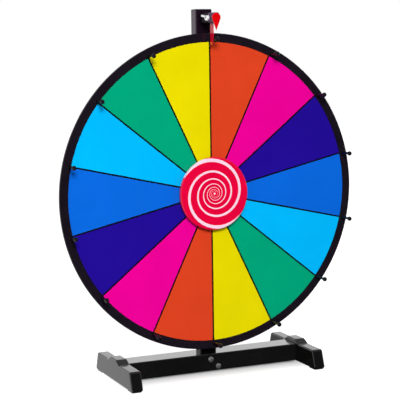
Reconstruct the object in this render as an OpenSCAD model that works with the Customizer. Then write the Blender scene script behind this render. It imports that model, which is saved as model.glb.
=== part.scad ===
// Tabletop carnival game wheel. A colour wheel runs on two ball bearings in front of a post.
// Pegs round its edge click past a springy leaf that hangs from an arm at the top of the post.
// The post is let into the back of a crossbar that stands on two moulded feet.
// Millimetres. X runs right, Y runs back, Z runs up. The floor is Z = 0 and the wheel faces -Y.

/* [Wheel] */
// Outside diameter of the wheel over its edge trim
wheel_d = 609.6; // [450:0.1:760]
// Thickness of the wheel board
board_t = 4; // [3:0.5:6]
// How many times the run of seven colours goes round the wheel
colour_runs = 2; // [1:1:3]
// Thickness of a coloured film
film_t = 0.3; // [0.2:0.1:0.6]
// Width of the black line left between two films
line_w = 2; // [0.5:0.5:5]
// Radius at which the films begin, under the hub cover
film_inner_r = 48; // [44:1:60]
// Distance from the coloured face back to the post
wheel_standoff = 24.5; // [21:0.5:40]
// Height of the wheel's lowest point above the crossbar
wheel_gap = 9.2; // [4:0.2:60]

/* [Edge trim] */
// Width of the trim's two lips
trim_w = 16.8; // [14:0.2:30]
// Thickness of the trim's lips
trim_lip_t = 0.8; // [0.6:0.1:2]
// Thickness of the trim's outer wall
trim_wall = 2; // [1.2:0.1:4]
// Radius on the trim's outer corners
trim_corner_r = 1.2; // [0.4:0.1:1.5]

/* [Pegs] */
// Distance of the peg circle in from the wheel's outside
peg_inset = 11.8; // [9:0.2:13]
// Diameter of a peg's stem
peg_d = 4.6; // [4:0.1:6]
// Diameter of a peg's round head
peg_head_d = 9; // [7:0.5:11]
// Height of a peg's top above the coloured face
peg_reach = 37.5; // [32:0.5:39]
// Diameter of the collar at the foot of a peg
peg_collar_d = 8; // [7:0.5:9]
// Thickness of that collar
peg_collar_t = 1.6; // [1:0.1:3]
// Diameter of a peg's thread behind the face
peg_thread_d = 4; // [3:0.5:4]
// Width across the flats of a peg's nut
peg_nut_af = 7; // [6:0.5:8]
// Thickness of a peg's nut
peg_nut_t = 3.2; // [2:0.1:4]
// How far a thread shows past its nut
thread_tail = 1; // [0.5:0.1:2]

/* [Bearings] */
// Bore of a ball bearing
bearing_bore = 8; // [8:1:10]
// Outside diameter of a ball bearing
bearing_od = 22; // [22:1:26]
// Width of a ball bearing
bearing_w = 7; // [6:0.5:8]
// Diameter of a ball
ball_d = 3.97; // [3.2:0.01:4]
// Number of balls in a bearing
ball_count = 7; // [5:1:8]
// Distance from the ball circle to the shoulder of a ring
race_shoulder = 1.43; // [1.2:0.01:1.5]
// Width of a ball cage
cage_w = 5.2; // [4.6:0.1:5.6]
// Distance between the two bearings
bearing_gap = 7; // [4:0.5:7]
// How far the front bearing stands in front of the coloured face
bearing_proud = 3; // [1:0.5:4]

/* [Hub] */
// Outside diameter of the hub's boss
boss_d = 34; // [30:0.5:40]
// How far the boss stands in front of its front bearing
boss_lip = 3; // [2:0.5:5]
// Bore of the hub between its two bearings
hub_waist_d = 18; // [17:0.5:19]
// Diameter of the hub's flange
flange_d = 96; // [84:1:120]
// Thickness of the hub's flange
flange_t = 3; // [2:0.5:6]
// Width of the cone that stiffens the flange
flange_cone = 10; // [4:0.5:12]
// Number of hub screws
hub_screw_count = 6; // [3:1:8]
// Radius of the hub screws' circle
hub_screw_r = 36; // [32:1:38]
// Diameter of a hub screw
hub_screw_d = 5; // [4:0.5:6]
// Diameter of a hub screw's head
hub_head_d = 9.5; // [8:0.5:12]
// Height of a hub screw's head
hub_head_t = 2.5; // [2:0.1:4]
// Width across the flats of a hub nut
hub_nut_af = 8; // [8:0.5:10]
// Thickness of a hub nut
hub_nut_t = 4; // [3:0.1:5]

/* [Hub cover] */
// Diameter of the hub cover
cover_d = 140; // [110:1:180]
// Distance from the coloured face to the front of the cover
cover_reach = 14.5; // [14:0.5:18]
// Depth of the cover's side wall
cover_depth = 7; // [5:0.5:8]
// Wall thickness of the cover
cover_wall = 2; // [1.5:0.1:2.2]
// Radius on the cover's front edge
cover_edge_r = 2; // [1:0.1:3]
// How far the cover's socket grips the hub's boss
cover_grip = 5; // [3:0.5:5]
// Number of white spiral arms
spiral_arms = 2; // [1:1:4]
// How much a spiral arm's radius grows in one turn
spiral_growth = 2.25; // [1.6:0.05:3]
// Part of the face that is white near the cover's edge
spiral_white = 0.25; // [0.15:0.01:0.5]
// Part of the face that is white where the spiral starts
spiral_white_start = 0.12; // [0.1:0.01:0.5]
// Radius of a spiral arm's middle at the top of its first turn inside the edge
spiral_r = 42.7; // [20:0.1:60]
// Radius at which the spiral starts
spiral_start_r = 5; // [3:0.5:8]
// Diameter of the white dot in the spiral's middle
spiral_dot_d = 4.4; // [2:0.1:5]

/* [Axle] */
// Thickness of the axle bolt's head
axle_head_t = 5.3; // [4:0.1:7]
// Width across the flats of the axle's head and nut
axle_af = 13; // [12:0.5:17]
// Thickness of the axle's nut
axle_nut_t = 6.5; // [4:0.1:6.8]
// How far the axle shows past its nut
axle_tail = 0.6; // [0.2:0.1:0.8]
// Thickness of a washer on the axle
axle_washer_t = 1.6; // [1:0.1:2]
// Outside diameter of the washer behind the post
axle_washer_d = 18; // [16:0.5:24]
// Outside diameter of the collars that space the bearings
collar_d = 11.6; // [11:0.1:11.8]

/* [Post] */
// Width of the post
post_w = 34; // [28:0.5:50]
// Depth of the post
post_depth = 25; // [18:0.5:40]
// Wall thickness of the post's tube
post_wall = 2; // [1.5:0.1:3]
// Radius on the post's upright corners
post_corner_r = 3; // [2.5:0.1:5]
// Height of the post's top above the clicker arm
post_rise = 8; // [5:0.5:40]
// Thickness of the cap on the post
cap_t = 3; // [2.6:0.1:6]
// Radius on the cap's top corners
cap_corner_r = 2.5; // [1:0.1:2.5]
// Depth of the cap's plug inside the post
cap_plug = 5; // [3:0.5:6]

/* [Clicker] */
// Height of the clamp bolt above the wheel's outside
clamp_rise = 28.2; // [22:0.2:60]
// Distance from the coloured face forward to the leaf's middle
leaf_reach = 19; // [14:0.5:24]
// Width of the leaf
leaf_w = 14; // [6:0.5:16]
// Width of the leaf at its tip
leaf_tip_w = 4; // [3:0.2:6]
// Length of the leaf's tapered end
leaf_taper = 18; // [10:1:30]
// Thickness of the leaf
leaf_t = 1.2; // [0.8:0.1:2]
// How far the leaf's tip reaches past the middle of a peg
leaf_overlap = 11.4; // [4:0.2:16]
// Clearance between the leaf and the peg beside it
leaf_peg_gap = 0.4; // [0.3:0.1:2]
// How far the leaf's bending line hangs below the arm
leaf_hang = 1.5; // [1.2:0.1:4]
// Thickness of the arm above the leaf's slot
slot_roof = 4; // [3:0.5:6]
// Width of the clicker arm
arm_w = 12; // [10:0.5:16]
// Height of the clicker arm
arm_h = 19; // [16:0.5:24]
// Radius on the arm's long edges
arm_edge_r = 3; // [0.5:0.1:4]
// Distance from the coloured face forward to the end of the arm
arm_reach = 38.5; // [36:0.5:60]
// Diameter of the pointer's round end
pointer_d = 17.5; // [12:0.5:24]
// Distance from the middle of the pointer's round end down to its tip
pointer_drop = 23.6; // [16:0.2:25]
// Thickness of the pointer
pointer_t = 2; // [1.5:0.1:4]
// Diameter of the pointer's stud in the arm
pointer_stud_d = 5; // [4:0.5:6]
// Length of the pointer's stud
pointer_stud_len = 8; // [4:0.5:8]
// Diameter of the clamp bolt
clamp_d = 5; // [4:0.5:5]
// Thickness of a clamp washer
clamp_washer_t = 1; // [0.5:0.1:2]
// Outside diameter of a clamp washer
clamp_washer_d = 10; // [9:0.5:14]
// Diameter of the clamp bolt's head
clamp_head_d = 9.5; // [8:0.5:12]
// Height of the clamp bolt's head
clamp_head_t = 3; // [2:0.1:4]
// Diameter of the wing nut's boss at its seat
wing_boss_d = 9.5; // [8:0.5:11]
// Diameter of the wing nut's boss at its outer end
wing_boss_end_d = 7.8; // [7:0.1:8]
// Height of the wing nut's boss
wing_boss_h = 6; // [5:0.5:8]
// Span of the wing nut over its two wings
wing_span = 25; // [20:0.5:28]
// Height of the wing nut's wing tips above its seat
wing_h = 11; // [9:0.5:14]
// Radius of a wing's round ear
wing_ear_r = 3.3; // [2.4:0.1:4]
// How far a wing stands clear of the nut's seat
wing_lift = 0.5; // [0.2:0.1:1]
// Thickness of a wing
wing_t = 2.4; // [1.6:0.1:3]
// Slope of the wings, back end up
wing_tilt = 23; // [0:1:90]
// Diameter of the screws that hold the arm on the post
arm_screw_d = 4; // [3:0.5:5]
// Diameter of the head of such a screw
arm_head_d = 8; // [6:0.5:9]
// Height of the head of such a screw
arm_head_t = 2.4; // [1.5:0.1:3]
// Distance between those two screws
arm_screw_pitch = 10; // [8:0.5:12]
// How deep those screws go into the arm
arm_screw_bite = 16; // [8:0.5:20]

/* [Base] */
// Width over the two feet
base_w = 404; // [300:1:600]
// Thickness of a foot
foot_t = 23; // [18:0.5:40]
// Length of a foot along its underside
foot_len = 203; // [160:1:300]
// Height of a foot at its ends
foot_h = 36; // [30:0.5:50]
// Rise of the hump over the crossbar
hump_rise = 7.5; // [3:0.5:14]
// Length of the hump's flat top
hump_flat = 26; // [10:1:50]
// Length of the curve from the hump down to the end of a foot
hump_run = 28; // [20:1:40]
// How far a foot's end leans in from bottom to top
foot_lean = 12; // [0:0.5:16]
// Depth of the crossbar from front to back
bar_depth = 46; // [40:0.5:60]
// Height of the crossbar
bar_h = 34; // [30:0.5:36]
// Radius on the crossbar's long edges
bar_edge_r = 2; // [0.5:0.1:4]
// Clearance under the crossbar, above the undersides of the feet
bar_lift = 1.5; // [0:0.5:3]
// How far the crossbar lies behind the middle of the feet
bar_back = 0; // [0:0.5:4]
// Depth of the notch that the post stands in
notch_depth = 17; // [14:0.5:20]

/* [Base fasteners] */
// Diameter of a base bolt
base_bolt_d = 6; // [5:0.5:8]
// Diameter of a base bolt's head
base_head_d = 11.5; // [10:0.5:13]
// Height of a base bolt's head
base_head_t = 4; // [3:0.1:6]
// Width across the flats of the socket in a base bolt
base_socket_af = 4; // [3:0.5:5]
// Depth of that socket
base_socket_depth = 2.4; // [1.5:0.1:2.8]
// Sideways distance between the two base bolts
bolt_pitch_x = 16; // [13:0.5:18]
// Upright distance between the two base bolts
bolt_pitch_z = 15; // [13:0.5:16]
// How far the bolts' middle lies below the middle of the crossbar
bolt_drop = 1.5; // [0:0.5:2]
// Thickness of a base washer
base_washer_t = 1.6; // [1:0.1:2]
// Outside diameter of a base washer
base_washer_d = 12; // [10:0.5:13]
// Thickness of a base nut
base_nut_t = 5; // [4:0.1:6]
// Width across the flats of a base nut
base_nut_af = 10; // [9:0.5:11]
// Diameter of a dowel
dowel_d = 8; // [6:0.5:10]
// Length of a dowel
dowel_len = 35; // [24:1:40]
// How deep a dowel goes into a foot
dowel_bite = 15; // [8:0.5:16]
// Distance between the two dowels of a foot
dowel_pitch = 24; // [16:1:30]
// Length of a rubber pad
pad_len = 26; // [12:1:50]
// Width of a rubber pad
pad_w = 19; // [10:0.5:20]
// How far a pad stands out of its foot
pad_proud = 1.5; // [1:0.1:4]
// How deep a pad is let into its foot
pad_recess = 1; // [0.5:0.1:3]
// Distance of a pad from the end of its foot
pad_inset = 4; // [2:0.5:20]
// Radius on a pad's corners
pad_corner_r = 3; // [1:0.5:5]

/* [Clearances] */
// Gap all round a piece that is pushed into its seat
fit_gap = 0.05; // [0.02:0.01:0.1]
// Gap all round a bolt, post or leaf in its hole, notch or slot
slip_gap = 0.2; // [0.1:0.05:0.4]
// Gap all round a ball in its grooves and cage
ball_gap = 0.12; // [0.08:0.01:0.2]
// Gap between the wing nut and its washer and round its thread
turn_gap = 0.08; // [0.05:0.01:0.1]

/* [Hidden] */
$fn = 72;

// Colours
black_print = "#1c141e";
black_paint = "#17171a";
steel = "#b9bcc2";
bright_zinc = "#dfe1e4";
signal_red = "#e0101c";
rubber = "#242424";
film_colours = [
    "#de421e", "#ec0096", "#200a8c", "#0a64dc", "#00b9ff", "#00a578", "#eee200"
];

// Small allowances that only make cuts run clear of a face
cut = 1;
round_fn = 180;

// Arcs of an S-curve cross where arcs of exactly equal reach would only touch
arc_lap = 1.01;
// Straight sides start this far out along the radius of the round end that they join
tuck = 0.99;

// Wheel sizes
colour_count = len(film_colours);
sector_count = colour_count * colour_runs;
sector_angle = 360 / sector_count;
wheel_r = wheel_d / 2;
film_outer_r = wheel_r - trim_w;
board_r = wheel_r - trim_wall - fit_gap;
board_front = -film_t;
board_back = board_front - board_t;
trim_front = board_front + trim_lip_t;
trim_back = board_back - trim_lip_t;
peg_r = wheel_r - peg_inset;
peg_tail = trim_back - peg_nut_t - thread_tail;

// Bearing and hub places along the axle, counted forward from the coloured face
front_bearing_z = bearing_proud - bearing_w;
rear_bearing_z = front_bearing_z - bearing_gap - bearing_w;
ball_circle_r = (bearing_bore + bearing_od) / 4;
inner_ring_d = 2 * (ball_circle_r - race_shoulder);
outer_ring_bore = 2 * (ball_circle_r + race_shoulder);
boss_front = bearing_proud + boss_lip;
flange_back = board_back - flange_t;
cover_front = cover_reach - film_t;
cover_inside = cover_front - cover_wall;
cover_back = cover_reach - cover_depth;
cover_socket_d = boss_d + 2 * fit_gap;

// Axle places along the same line
post_front = -wheel_standoff;
post_back = post_front - post_depth;
axle_head_z = post_back - axle_washer_t;
axle_nut_z = bearing_proud + axle_washer_t;
axle_end = axle_nut_z + axle_nut_t + axle_tail;

// Base, post and axle heights
foot_z = pad_proud;
bar_z = foot_z + bar_lift;
bar_top = bar_z + bar_h;
bar_len = base_w - 2 * foot_t;
bar_front_y = bar_back - bar_depth / 2;
bar_rear_y = bar_back + bar_depth / 2;
post_y = bar_rear_y - notch_depth;
face_y = post_y - wheel_standoff;
axis_z = bar_top + wheel_gap + wheel_r;
bolt_mid_z = bar_z + bar_h / 2 - bolt_drop;

// Clicker places
clamp_z = axis_z + wheel_r + clamp_rise;
arm_bottom = clamp_z - arm_h / 2;
arm_top = clamp_z + arm_h / 2;
arm_front_y = face_y - arm_reach;
post_top = arm_top + post_rise;
tube_top = post_top - cap_t;
leaf_x = -(peg_d / 2 + leaf_peg_gap + leaf_t / 2);
leaf_y = face_y - leaf_reach;
leaf_pivot_z = arm_bottom - leaf_hang;
leaf_tip_z = axis_z + peg_r - leaf_overlap;
leaf_top_z = arm_top - slot_roof - slip_gap;
arm_left_x = leaf_x - arm_w / 2;
arm_right_x = leaf_x + arm_w / 2;
wing_seat_x = arm_left_x - clamp_washer_t - turn_gap;
clamp_end_x = wing_seat_x - wing_boss_h - thread_tail;

// Puts a shape on the wheel: its Z points out of the coloured face, towards the player
module on_wheel() {
    translate([0, face_y, axis_z]) rotate([90, 0, 0]) children();
}

// Extrudes an outline drawn in Y and Z along X
module along_x(length) {
    rotate([90, 0, 90]) linear_extrude(length) children();
}

// Turns a shape so that its Z points forward, towards the player
module facing_front() {
    rotate([90, 0, 0]) children();
}

module ring_of(count, radius) {
    for (i = [0 : count - 1]) rotate(-i * 360 / count) translate([0, radius, 0]) children();
}

module rounded_rect(w, h, r) {
    square([w - 2 * r, h], center = true);
    square([w, h - 2 * r], center = true);
    for (x = [-1, 1], y = [-1, 1]) translate([x * (w / 2 - r), y * (h / 2 - r)]) circle(r);
}

module tube(outer_d, inner_d, length) {
    difference() {
        cylinder(d = outer_d, h = length);
        translate([0, 0, -cut]) cylinder(d = inner_d, h = length + 2 * cut);
    }
}

module hex_nut(af, hole_d, height) {
    difference() {
        cylinder(d = af / cos(30), h = height, $fn = 6);
        translate([0, 0, -cut]) cylinder(d = hole_d, h = height + 2 * cut);
    }
}

// Round-headed screw. The head stands on Z = 0 and the shank goes down from it
module dome_screw(shank_d, shank_len, head_d, head_t) {
    dome_r = (pow(head_d / 2, 2) + pow(head_t, 2)) / (2 * head_t);
    translate([0, 0, -shank_len]) cylinder(d = shank_d, h = shank_len + head_t / 2);
    intersection() {
        translate([0, 0, head_t - dome_r]) sphere(dome_r);
        cylinder(d = head_d, h = head_t);
    }
}

// Wheel board, with holes for the hub, the hub screws and the pegs
module wheel_board() {
    color(black_print) on_wheel() translate([0, 0, board_back]) difference() {
        cylinder(r = board_r, h = board_t, $fn = round_fn);
        translate([0, 0, -cut]) cylinder(d = boss_d + 2 * slip_gap, h = board_t + 2 * cut);
        translate([0, 0, -cut]) ring_of(hub_screw_count, hub_screw_r)
            cylinder(d = hub_screw_d + 2 * slip_gap, h = board_t + 2 * cut);
        translate([0, 0, -cut]) ring_of(sector_count, peg_r)
            cylinder(d = peg_thread_d + 2 * slip_gap, h = board_t + 2 * cut);
    }
}

// Black channel that grips the board's edge. The pegs go through both of its lips
module edge_trim() {
    trim_h = trim_front - trim_back;
    color(black_print) on_wheel() difference() {
        rotate_extrude($fn = round_fn) difference() {
            translate([film_outer_r, trim_back]) union() {
                square([trim_w - trim_corner_r, trim_h]);
                translate([0, trim_corner_r]) square([trim_w, trim_h - 2 * trim_corner_r]);
                for (z = [trim_corner_r, trim_h - trim_corner_r])
                    translate([trim_w - trim_corner_r, z]) circle(trim_corner_r);
            }
            translate([film_outer_r - cut, board_back]) square([trim_w - trim_wall + cut, board_t]);
        }
        translate([0, 0, trim_back - cut]) ring_of(sector_count, peg_r)
            cylinder(d = peg_thread_d + 2 * slip_gap, h = trim_h + 2 * cut);
    }
}

// One wedge of film, narrowed by half a black line on each side
module film_wedge(place) {
    half = sector_angle / 2;
    far = 2 * wheel_r;
    rotate(-(place + 0.5) * sector_angle) intersection() {
        difference() {
            circle(r = film_outer_r - fit_gap, $fn = round_fn);
            circle(r = film_inner_r);
        }
        translate([0, line_w / 2 / sin(half)])
            polygon([[0, 0], [far * tan(half), far], [-far * tan(half), far]]);
    }
}

// The films of one colour, one in each run of colours
module films(index) {
    color(film_colours[index]) on_wheel() translate([0, 0, board_front])
        for (run = [0 : colour_runs - 1])
            linear_extrude(film_t) film_wedge(index + run * colour_count);
}

module film_orange() { films(0); }
module film_magenta() { films(1); }
module film_navy() { films(2); }
module film_blue() { films(3); }
module film_cyan() { films(4); }
module film_green() { films(5); }
module film_yellow() { films(6); }

// Turned pegs, one at each seam: thread, collar, stem and round head
module pegs() {
    head_z = peg_reach - peg_head_d / 2;
    color(black_print) on_wheel() ring_of(sector_count, peg_r) {
        translate([0, 0, peg_tail]) cylinder(d = peg_thread_d, h = trim_front - peg_tail + cut / 2);
        translate([0, 0, trim_front]) cylinder(d = peg_collar_d, h = peg_collar_t);
        translate([0, 0, trim_front]) cylinder(d = peg_d, h = head_z - trim_front);
        translate([0, 0, head_z]) sphere(d = peg_head_d);
    }
}

module peg_nuts() {
    color(steel) on_wheel() ring_of(sector_count, peg_r)
        translate([0, 0, trim_back - peg_nut_t])
            hex_nut(peg_nut_af, peg_thread_d + 2 * fit_gap, peg_nut_t);
}

// Hub: a flange behind the board and a boss through it, with a seat for a bearing at each end
module hub_housing() {
    boss_r = boss_d / 2;
    seat_r = bearing_od / 2 + fit_gap;
    rear = rear_bearing_z;
    color(steel) on_wheel() difference() {
        rotate_extrude() difference() {
            union() {
                translate([0, rear]) square([boss_r, boss_front - rear]);
                translate([0, flange_back]) square([flange_d / 2, flange_t]);
                polygon([[0, rear], [boss_r, rear], [boss_r + flange_cone, flange_back], [0, flange_back]]);
            }
            translate([-cut, rear - cut]) square([hub_waist_d / 2 + cut, boss_front - rear + 2 * cut]);
            translate([-cut, rear - cut]) square([seat_r + cut, bearing_w + cut]);
            translate([-cut, front_bearing_z]) square([seat_r + cut, boss_front - front_bearing_z + cut]);
        }
        translate([0, 0, flange_back - cut]) ring_of(hub_screw_count, hub_screw_r)
            cylinder(d = hub_screw_d + 2 * slip_gap, h = flange_t + 2 * cut);
    }
}

module hub_screws() {
    color(steel) on_wheel() translate([0, 0, board_front]) ring_of(hub_screw_count, hub_screw_r)
        dome_screw(hub_screw_d, board_t + flange_t + hub_nut_t + thread_tail, hub_head_d, hub_head_t);
}

module hub_nuts() {
    color(steel) on_wheel() translate([0, 0, flange_back - hub_nut_t])
        ring_of(hub_screw_count, hub_screw_r)
            hex_nut(hub_nut_af, hub_screw_d + 2 * fit_gap, hub_nut_t);
}

// Shallow red cap. Its inner socket grips the hub's boss and hides the axle nut
module hub_cover() {
    r = cover_d / 2;
    socket_r = cover_socket_d / 2;
    socket_back = boss_front - cover_grip;
    color(signal_red) on_wheel() rotate_extrude($fn = round_fn) {
        translate([0, cover_inside]) square([r - cover_edge_r, cover_wall]);
        translate([r - cover_wall, cover_back])
            square([cover_wall, cover_front - cover_edge_r - cover_back]);
        intersection() {
            translate([r - cover_edge_r, cover_front - cover_edge_r]) circle(cover_edge_r);
            translate([r - 2 * cover_edge_r, cover_front - 2 * cover_edge_r])
                square(2 * cover_edge_r);
        }
        translate([socket_r, socket_back]) square([cover_wall, cover_inside - socket_back + cut / 2]);
    }
}

// Radius of a spiral arm's middle at an angle, counted anticlockwise from the top
function spiral_radius(angle) = spiral_r * pow(spiral_growth, angle / 360);
function spiral_angle(radius) = 360 * ln(radius / spiral_r) / ln(spiral_growth);
function spiral_point(angle, turn) =
    spiral_radius(angle) * [-sin(angle + turn), cos(angle + turn)];

// Half the angle that a white arm covers. It widens from the start to the cover's edge
function half_band(angle) =
    let (start = spiral_angle(spiral_start_r), edge = spiral_angle(cover_d / 2))
    let (share = (angle - start) / (edge - start))
    (spiral_white_start + share * (spiral_white - spiral_white_start)) * 180 / spiral_arms;

// White logarithmic spiral on the cover's face, cut off at the flat face's edge
module hub_spiral() {
    face_r = cover_d / 2 - cover_edge_r;
    step = 10;
    first = spiral_angle(spiral_start_r);
    last = spiral_angle(cover_d / 2) + 90;
    angles = [for (a = [first : step : last]) a];
    band = concat(
        [for (a = angles) spiral_point(a, -half_band(a))],
        [for (i = [len(angles) - 1 : -1 : 0]) spiral_point(angles[i], half_band(angles[i]))]
    );
    color("white") on_wheel() translate([0, 0, cover_front]) linear_extrude(film_t)
        intersection() {
            circle(r = face_r, $fn = round_fn);
            union() {
                circle(d = spiral_dot_d);
                for (arm = [0 : spiral_arms - 1]) rotate(arm * 360 / spiral_arms) polygon(band);
            }
        }
}

// Repeats a shape at the two bearings, from each bearing's back face
module at_bearings() {
    for (z = [front_bearing_z, rear_bearing_z]) on_wheel() translate([0, 0, z]) children();
}

// A bearing ring with its ball groove
module bearing_ring(outer_d, inner_d) {
    rotate_extrude() difference() {
        translate([inner_d / 2, 0]) square([(outer_d - inner_d) / 2, bearing_w]);
        translate([ball_circle_r, bearing_w / 2]) circle(ball_d / 2 + ball_gap);
    }
}

module bearing_outer_rings() {
    color(steel) at_bearings() bearing_ring(bearing_od, outer_ring_bore);
}

module bearing_inner_rings() {
    color(steel) at_bearings() bearing_ring(inner_ring_d, bearing_bore + 2 * fit_gap);
}

// Ring between the races, with a pocket bored through it for each ball
module bearing_cages() {
    cage_t = race_shoulder;
    color("goldenrod") at_bearings() difference() {
        translate([0, 0, (bearing_w - cage_w) / 2])
            tube(2 * ball_circle_r + cage_t, 2 * ball_circle_r - cage_t, cage_w);
        translate([0, 0, bearing_w / 2]) ring_of(ball_count, ball_circle_r) rotate([90, 0, 0])
            cylinder(d = ball_d + 2 * ball_gap, h = 2 * cage_t, center = true);
    }
}

module bearing_balls() {
    color(bright_zinc) at_bearings() translate([0, 0, bearing_w / 2])
        ring_of(ball_count, ball_circle_r) sphere(d = ball_d);
}

// Axle: a hexagon bolt from the back of the post to the nut under the hub cover
module axle_bolt() {
    color(bright_zinc) on_wheel() {
        translate([0, 0, axle_head_z - axle_head_t])
            cylinder(d = axle_af / cos(30), h = axle_head_t, $fn = 6);
        translate([0, 0, axle_head_z - cut]) cylinder(d = bearing_bore, h = axle_end - axle_head_z + cut);
    }
}

module axle_washers() {
    hole_d = bearing_bore + 2 * fit_gap;
    color(bright_zinc) on_wheel() {
        translate([0, 0, axle_head_z]) tube(axle_washer_d, hole_d, axle_washer_t);
        translate([0, 0, bearing_proud]) tube(collar_d, hole_d, axle_washer_t);
    }
}

// Collars on the axle: one between the bearings and one between the rear bearing and the post
module axle_collars() {
    hole_d = bearing_bore + 2 * fit_gap;
    color(steel) on_wheel() {
        translate([0, 0, rear_bearing_z + bearing_w]) tube(collar_d, hole_d, bearing_gap);
        translate([0, 0, post_front]) tube(collar_d, hole_d, rear_bearing_z - post_front);
    }
}

// Sleeve inside the post that keeps the axle bolt from crushing the tube
module axle_sleeve() {
    color(steel) on_wheel() translate([0, 0, post_back + post_wall])
        tube(bearing_bore + 2 * post_wall, bearing_bore + 2 * fit_gap, post_depth - 2 * post_wall);
}

module axle_nut() {
    color(bright_zinc) on_wheel() translate([0, 0, axle_nut_z])
        hex_nut(axle_af, bearing_bore + 2 * fit_gap, axle_nut_t);
}

// Middle of the post, seen from above
post_mid_y = post_y + post_depth / 2;

// Puts a shape at each base bolt, on a plane across Y, with its Z pointing forward
module at_base_bolts(y) {
    for (side = [-1, 1])
        translate([side * bolt_pitch_x / 2, y, bolt_mid_z - side * bolt_pitch_z / 2])
            facing_front() children();
}

module at_arm_screws(y) {
    for (side = [-1, 1])
        translate([leaf_x, y, clamp_z + side * arm_screw_pitch / 2]) facing_front() children();
}

// Rectangular tube, drilled for the axle, the base bolts and the arm's screws
module post() {
    through = post_depth + 2 * cut;
    color(black_print) difference() {
        translate([0, post_mid_y, bar_z]) linear_extrude(tube_top - bar_z) difference() {
            rounded_rect(post_w, post_depth, post_corner_r);
            rounded_rect(post_w - 2 * post_wall, post_depth - 2 * post_wall,
                post_corner_r - post_wall);
        }
        translate([0, post_y + post_depth + cut, axis_z]) facing_front()
            cylinder(d = bearing_bore + 2 * slip_gap, h = through);
        at_base_bolts(post_y + post_depth + cut)
            cylinder(d = base_bolt_d + 2 * slip_gap, h = through);
        at_arm_screws(post_y + post_depth + cut)
            cylinder(d = arm_screw_d + 2 * slip_gap, h = through);
    }
}

// Cap with rounded top corners and a plug inside the tube
module post_cap() {
    inside_w = post_w - 2 * post_wall - 2 * slip_gap;
    inside_depth = post_depth - 2 * post_wall - 2 * slip_gap;
    color(black_print) translate([0, post_mid_y, tube_top]) {
        intersection() {
            linear_extrude(cap_t) rounded_rect(post_w, post_depth, post_corner_r);
            translate([0, post_depth, cap_t / 2]) facing_front() linear_extrude(2 * post_depth)
                translate([0, -cap_t / 2]) rounded_rect(post_w, 2 * cap_t, cap_corner_r);
        }
        translate([0, 0, -cap_plug]) linear_extrude(cap_plug + cut / 2)
            rounded_rect(inside_w, inside_depth, post_corner_r - post_wall);
    }
}

// Crossbar with the notch for the post at its back
module crossbar() {
    color(black_paint) difference() {
        translate([-bar_len / 2, bar_back, bar_z + bar_h / 2]) along_x(bar_len)
            rounded_rect(bar_depth, bar_h, bar_edge_r);
        translate([-post_w / 2 - slip_gap, post_y, bar_z - cut])
            cube([post_w + 2 * slip_gap, notch_depth + cut, bar_h + 2 * cut]);
        at_base_bolts(post_y + cut)
            cylinder(d = base_bolt_d + 2 * slip_gap, h = post_y - bar_front_y + 2 * cut);
        at_dowels() cylinder(d = dowel_d + 2 * fit_gap, h = dowel_len + fit_gap);
    }
}

// Repeats a shape at the dowels, from the blind end in the foot towards the middle of the bar
module at_dowels() {
    for (side = [-1, 1], row = [-1, 1])
        translate([side * (bar_len / 2 + dowel_bite), bar_back + row * dowel_pitch / 2, bar_z + bar_h / 2])
            rotate([0, -side * 90, 0]) children();
}

module dowels() {
    color("burlywood") at_dowels() cylinder(d = dowel_d, h = dowel_len);
}

// S-curve of two equal arcs that falls from a hump to the flat beside it
module ogee(run, rise) {
    arc_r = arc_lap * (run * run + rise * rise) / (4 * rise);
    intersection() {
        translate([0, rise - arc_r]) circle(arc_r, $fn = round_fn);
        translate([-cut, -cut]) square([run + cut, rise + cut]);
    }
    difference() {
        translate([-cut, -cut]) square([run + cut, rise / 2 + cut]);
        translate([run, arc_r]) circle(arc_r, $fn = round_fn);
    }
}

// Side outline of a foot: leaning ends and a hump over the crossbar
module foot_outline() {
    half = foot_len / 2;
    polygon([[-half, 0], [half, 0], [half - foot_lean, foot_h], [foot_lean - half, foot_h]]);
    translate([-hump_flat / 2, 0]) square([hump_flat, foot_h + hump_rise]);
    for (side = [0, 1]) mirror([side, 0]) translate([hump_flat / 2, foot_h]) ogee(hump_run, hump_rise);
}

// Repeats a shape over the four pads, on the underside of the feet
module at_pads() {
    pad_x = base_w / 2 - foot_t / 2;
    pad_y = foot_len / 2 - pad_inset - pad_len / 2;
    for (x = [-1, 1], y = [-1, 1]) translate([x * pad_x, y * pad_y, 0]) children();
}

module foot(side) {
    color(black_paint) difference() {
        translate([side * (base_w - foot_t) / 2 - foot_t / 2, 0, foot_z]) along_x(foot_t) foot_outline();
        at_dowels() translate([0, 0, -fit_gap]) cylinder(d = dowel_d + 2 * fit_gap, h = dowel_len);
        at_pads() linear_extrude(pad_proud + pad_recess)
            rounded_rect(pad_w + 2 * fit_gap, pad_len + 2 * fit_gap, pad_corner_r + fit_gap);
    }
}

module left_foot() { foot(-1); }
module right_foot() { foot(1); }

module rubber_pads() {
    color(rubber) at_pads() linear_extrude(pad_proud + pad_recess)
        rounded_rect(pad_w, pad_len, pad_corner_r);
}

// Button-headed bolts with a hexagon socket, set slantwise across the post
module base_bolts() {
    shank_len = post_y + post_depth - bar_front_y + base_washer_t + base_nut_t + thread_tail;
    color(bright_zinc) at_base_bolts(bar_front_y) difference() {
        dome_screw(base_bolt_d, shank_len, base_head_d, base_head_t);
        translate([0, 0, base_head_t - base_socket_depth])
            cylinder(d = base_socket_af / cos(30), h = base_head_t, $fn = 6);
    }
}

module base_washers() {
    color(bright_zinc) at_base_bolts(post_y + post_depth + base_washer_t)
        tube(base_washer_d, base_bolt_d + 2 * fit_gap, base_washer_t);
}

module base_nuts() {
    color(bright_zinc) at_base_bolts(post_y + post_depth + base_washer_t + base_nut_t)
        hex_nut(base_nut_af, base_bolt_d + 2 * fit_gap, base_nut_t);
}

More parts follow.
